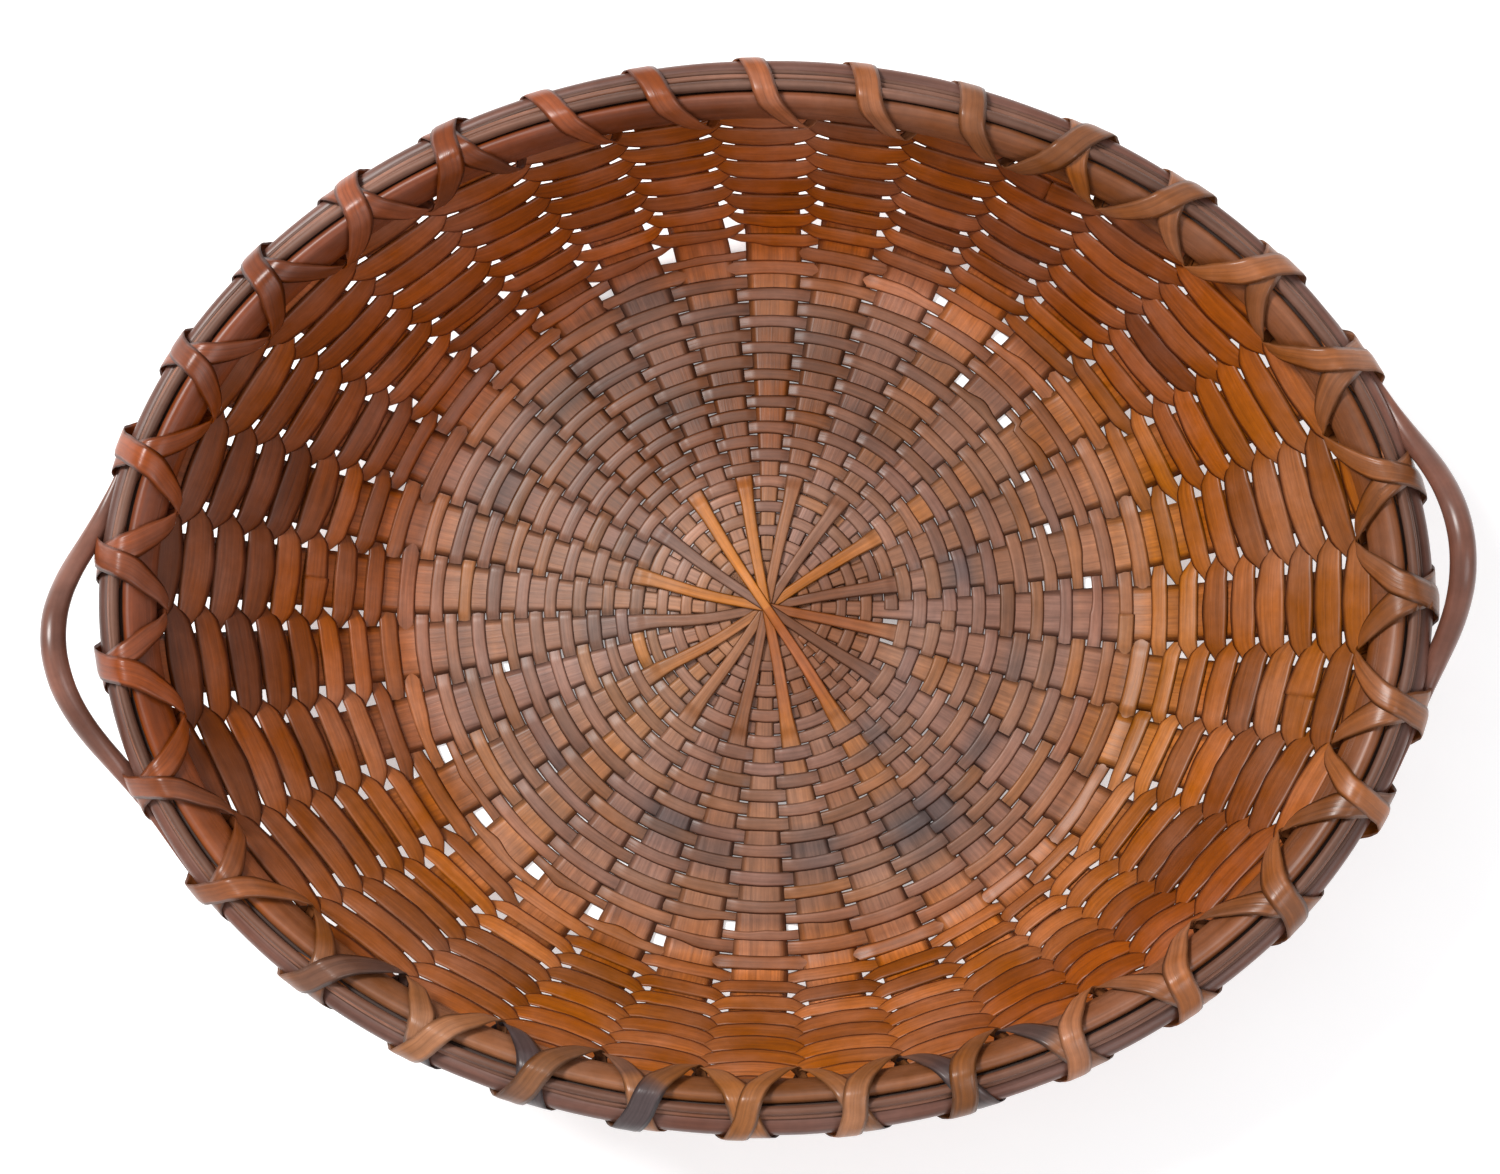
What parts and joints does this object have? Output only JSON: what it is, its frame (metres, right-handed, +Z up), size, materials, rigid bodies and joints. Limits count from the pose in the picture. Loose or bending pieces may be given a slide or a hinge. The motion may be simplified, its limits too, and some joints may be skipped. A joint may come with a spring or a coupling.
{
  "type": "winnowing basket",
  "caption": "Shallow oval winnowing basket of spirally woven wood splints, with a lashed double-hoop rim and a bentwood ear handle at each end.",
  "frame": {"origin": "on the ground under the middle of the basket, where its splints cross", "axes": "+X along the basket's long axis towards the right handle, +Z up out of the bowl, +Y across"},
  "size_m": [0.71, 0.539, 0.1682],
  "materials": {
    "lower_splint": "satin",
    "upper_splint": "satin",
    "floor_weaver": "satin",
    "wall_weaver": "satin",
    "hoop": "satin",
    "filler": "satin",
    "lashing": "satin",
    "handle": "satin"
  },
  "bodies": {
    "root": {"lower_splint_1": "lower_splint", "lower_splint_2": "lower_splint", "lower_splint_3": "lower_splint", "lower_splint_4": "lower_splint", "lower_splint_5": "lower_splint", "lower_splint_6": "lower_splint", "lower_splint_7": "lower_splint", "lower_splint_8": "lower_splint", "upper_splint_1": "upper_splint", "upper_splint_2": "upper_splint", "upper_splint_3": "upper_splint", "upper_splint_4": "upper_splint", "upper_splint_5": "upper_splint", "upper_splint_6": "upper_splint", "upper_splint_7": "upper_splint", "upper_splint_8": "upper_splint", "core_weaver_1": "floor_weaver", "core_weaver_2": "floor_weaver", "floor_weaver_1": "floor_weaver", "floor_weaver_2": "floor_weaver", "floor_weaver_3": "floor_weaver", "floor_weaver_4": "floor_weaver", "floor_weaver_5": "floor_weaver", "floor_weaver_6": "floor_weaver", "wall_weaver_1": "wall_weaver", "wall_weaver_2": "wall_weaver", "wall_weaver_3": "wall_weaver", "wall_weaver_4": "wall_weaver", "wall_weaver_5": "wall_weaver", "wall_weaver_6": "wall_weaver", "wall_weaver_7": "wall_weaver", "wall_weaver_8": "wall_weaver", "inner_hoop": "hoop", "outer_hoop": "hoop", "wide_filler_rod": "filler", "thin_filler_rod": "filler", "lashing_strip_1": "lashing", "lashing_strip_2": "lashing", "right_handle": "handle", "left_handle": "handle"}
  },
  "joints": []
}
